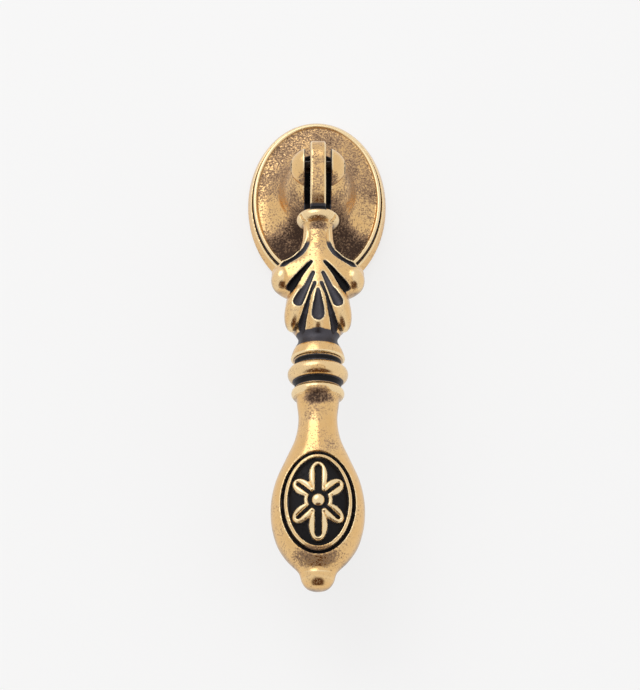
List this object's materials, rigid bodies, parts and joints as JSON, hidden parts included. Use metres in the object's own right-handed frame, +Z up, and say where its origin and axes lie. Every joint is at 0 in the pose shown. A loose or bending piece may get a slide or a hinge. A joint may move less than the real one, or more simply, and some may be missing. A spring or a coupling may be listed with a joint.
{
  "type": "drop pull",
  "caption": "Antiqued cast drop pull for a drawer or cabinet door: an oval dished rose with a slotted knuckle, and a swinging drop with a carved leaf, turned rings and a flower medallion.",
  "frame": {"origin": "mouth of the screw hole in the middle of the rose's back face", "axes": "+Z up along the hanging drop, +Y out of the back into the drawer front, +X to the right seen from the front"},
  "size_m": [0.028, 0.0252, 0.1047],
  "materials": {
    "antiqued_brass": "antiqued and burnished",
    "pin_brass": "drawn"
  },
  "bodies": {
    "rose": {"backplate": "antiqued_brass", "hinge_pin": "pin_brass"},
    "drop": {"pendant": "antiqued_brass"}
  },
  "joints": [
    {"name": "pendant_swing", "type": "hinge", "parent": "rose", "child": "drop", "pos_m": [0, -0.0185, 0], "axis": [-1, 0, 0], "range_deg": [-9, 189]}
  ]
}
